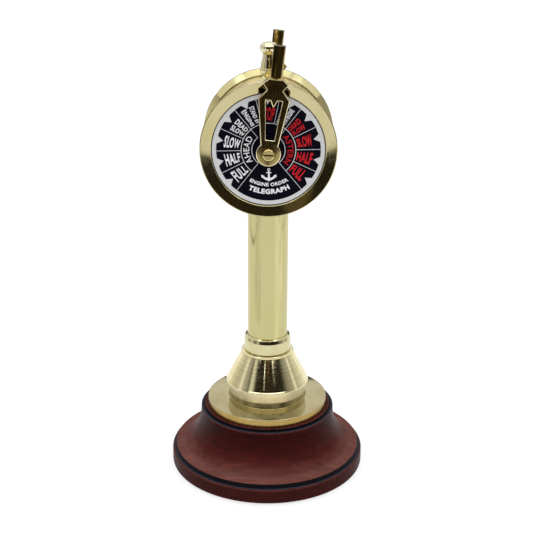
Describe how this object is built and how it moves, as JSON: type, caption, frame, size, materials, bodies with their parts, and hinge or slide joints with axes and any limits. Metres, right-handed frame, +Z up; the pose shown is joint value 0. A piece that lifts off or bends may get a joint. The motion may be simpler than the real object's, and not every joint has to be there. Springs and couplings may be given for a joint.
{
  "type": "ship engine telegraph",
  "caption": "Table-top ship engine telegraph: brass drum with a dial and lever on both sides, on a brass column and turned wooden base.",
  "frame": {"origin": "middle of the round footprint, on the surface that it stands on", "axes": "+Z up the column, -Y out of the front dial, +X to the right of someone facing that dial"},
  "size_m": [0.128, 0.128, 0.2835],
  "materials": {
    "polished_brass": "turned and polished, lacquered",
    "lever_brass": "cast, filed and toned",
    "mahogany": "red-brown stain under satin lacquer",
    "felt": "pressed felt",
    "steel": "plain bright",
    "gong_plate": "nickel plate",
    "dial_black": "printed satin enamel",
    "dial_silver": "bare satin metal ground",
    "dial_white": "printed satin enamel",
    "dial_red": "printed satin enamel"
  },
  "bodies": {
    "root": {"base_felt": "felt", "wood_base": "mahogany", "clamp_washer": "steel", "clamp_nut": "steel", "tie_rod": "steel", "foot_flange": "polished_brass", "pedestal_cone": "polished_brass", "column_collar": "polished_brass", "column_tube": "polished_brass", "column_plug": "polished_brass", "column_nut": "steel", "drum_shell": "polished_brass", "front_bezel": "polished_brass", "rear_bezel": "polished_brass", "front_end_plate": "polished_brass", "rear_end_plate": "polished_brass", "front_dial": "dial_silver", "rear_dial": "dial_silver", "front_bush": "lever_brass", "rear_bush": "lever_brass", "click_spring": "steel", "finial": "polished_brass", "finial_nut": "lever_brass", "gong_spacer": "lever_brass", "gong": "gong_plate", "gong_nut": "lever_brass", "striker_post": "lever_brass", "striker_screw": "steel", "striker_spring": "steel"},
    "lever_set": {"lever_shaft": "steel", "front_spacer": "lever_brass", "rear_spacer": "lever_brass", "front_lever": "lever_brass", "rear_lever": "lever_brass", "front_lever_screw": "lever_brass", "rear_lever_screw": "lever_brass", "click_wheel": "lever_brass", "wheel_grub_screw": "steel"},
    "striker": {"striker_arm": "steel", "striker_hammer": "lever_brass"}
  },
  "joints": [
    {"name": "lever_swing", "type": "hinge", "parent": "root", "child": "lever_set", "pos_m": [0, 0, 0.2196], "axis": [0, 1, 0], "range_deg": [-135.2, 121.8]},
    {"name": "striker_swing", "type": "hinge", "parent": "root", "child": "striker", "pos_m": [-0.017, 0, 0.214], "axis": [0, -1, 0], "range_deg": [0, 12], "stiffness_Nm_per_rad": 0.02, "springref_deg": -11.46}
  ]
}
